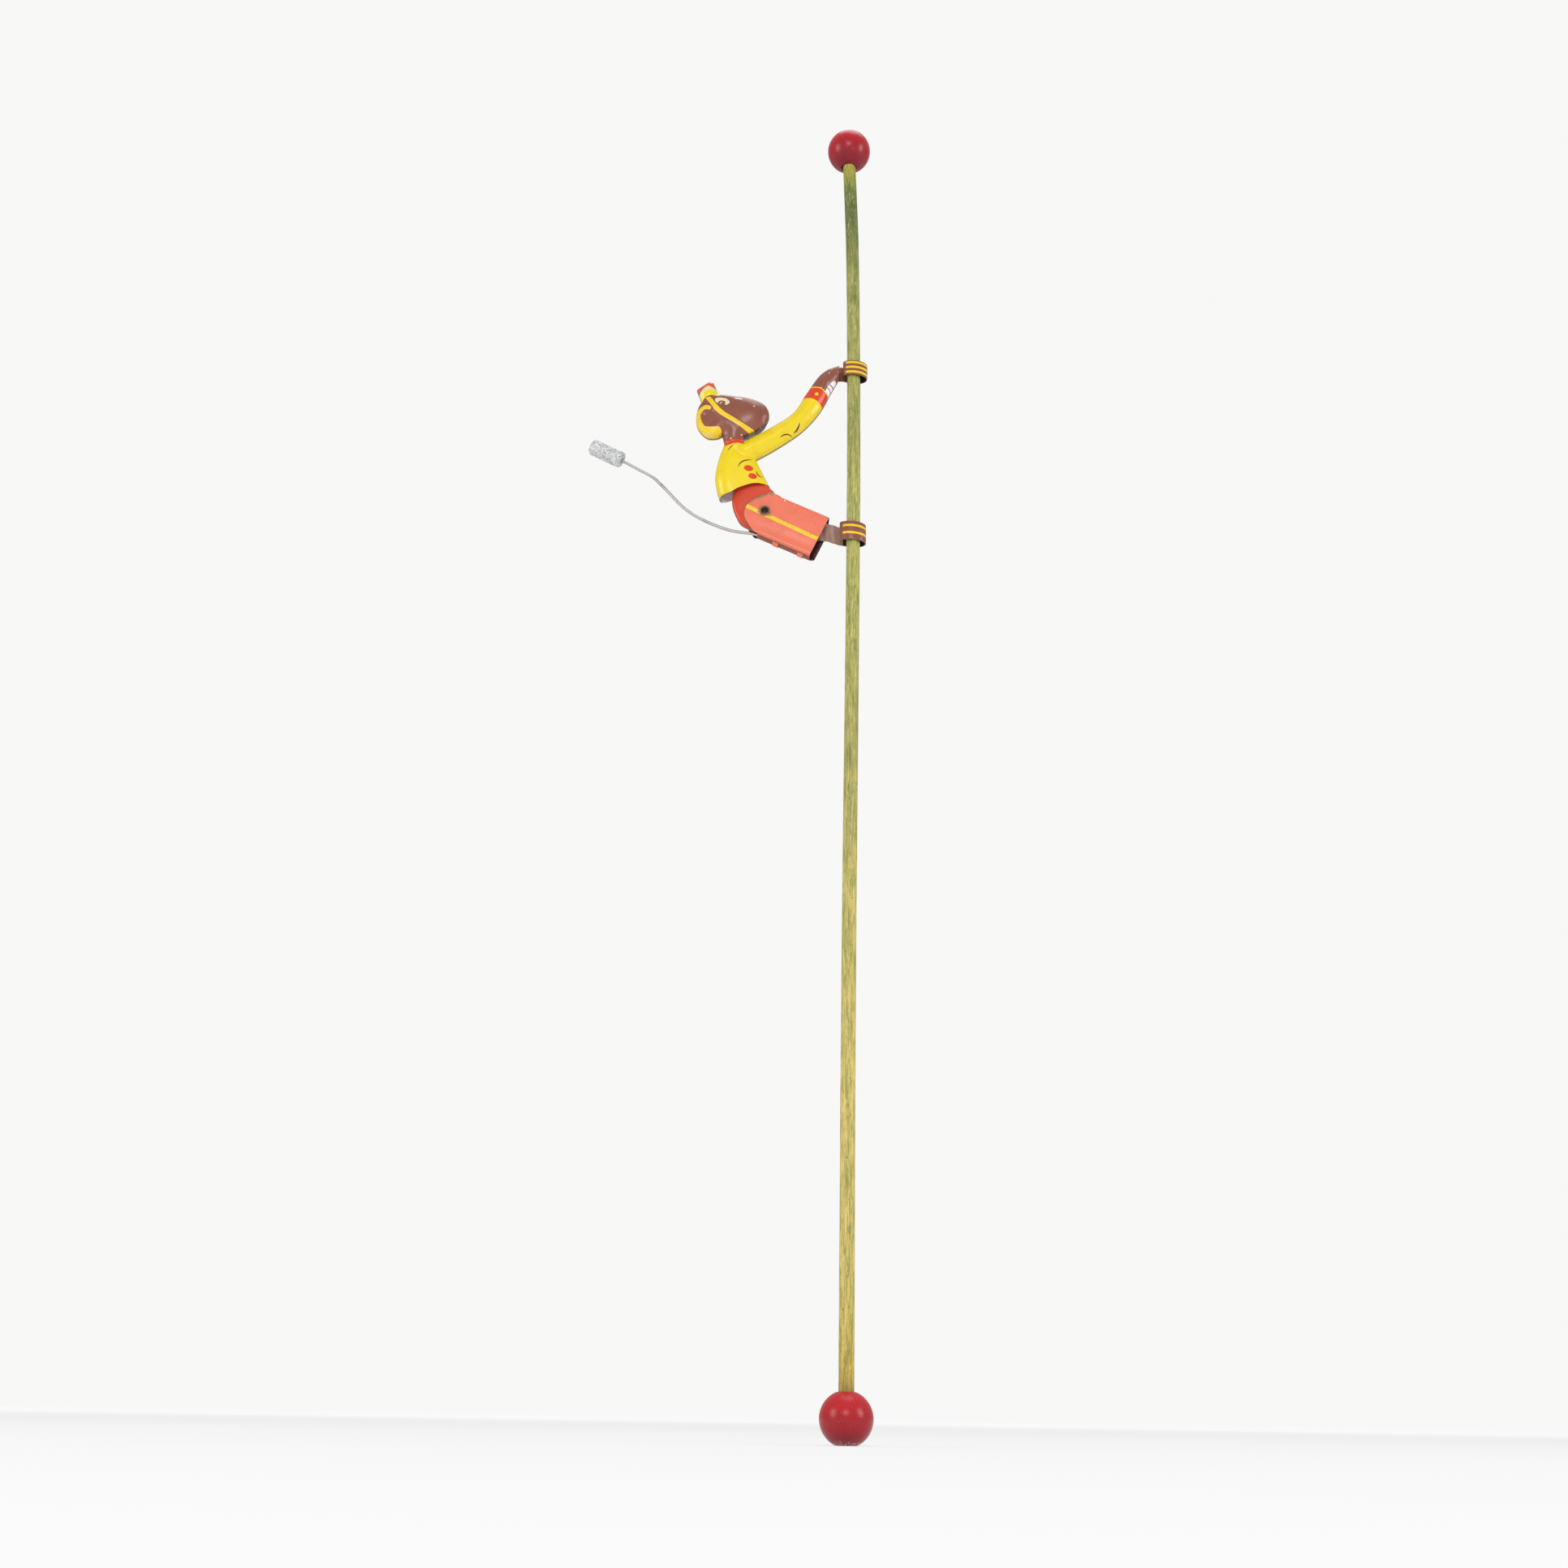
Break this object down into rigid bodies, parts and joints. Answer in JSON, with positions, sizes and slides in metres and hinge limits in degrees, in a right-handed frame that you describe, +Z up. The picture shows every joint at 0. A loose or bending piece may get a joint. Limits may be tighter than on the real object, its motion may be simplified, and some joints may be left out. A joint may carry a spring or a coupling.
{
  "type": "climbing monkey pole toy",
  "caption": "Lithographed tin monkey whose hand and foot straps ride on a green wooden pole between red balls, with a weighted wire tail and a hip that flexes as it climbs down.",
  "frame": {"origin": "centre of the flat on the lower ball, where the pole would stand or be held", "axes": "+Z up the pole, the figure hangs on the -X side and faces +X, -Y is the figure's near side"},
  "size_m": [0.1063, 0.017, 0.4942],
  "materials": {
    "green_dowel": "stained, worn, matt",
    "red_ball": "lacquered, satin",
    "yellow_litho": "lithographed, gloss",
    "red_litho": "lithographed, gloss",
    "brown_litho": "lithographed, gloss",
    "steel": "drawn, lightly worn",
    "cast_weight": "rough cast grey"
  },
  "bodies": {
    "pole": {"pole_dowel": "green_dowel", "bottom_ball": "red_ball", "top_ball": "red_ball"},
    "torso": {"torso_near_shell": "yellow_litho", "torso_far_shell": "yellow_litho", "hand_strap": "brown_litho", "seat": "red_litho"},
    "legs": {"trousers": "red_litho", "hip_eyelet": "steel", "foot_strap": "brown_litho", "tail_wire": "steel", "tail_weight": "cast_weight"}
  },
  "joints": [
    {"name": "climb", "type": "slide", "parent": "pole", "child": "torso", "axis": [0, 0, 1], "range_m": [-0.291, 0.09]},
    {"name": "hip", "type": "hinge", "parent": "torso", "child": "legs", "pos_m": [-0.0314, 0, 0.3226], "axis": [0, 1, 0], "range_deg": [-6, 6]}
  ]
}
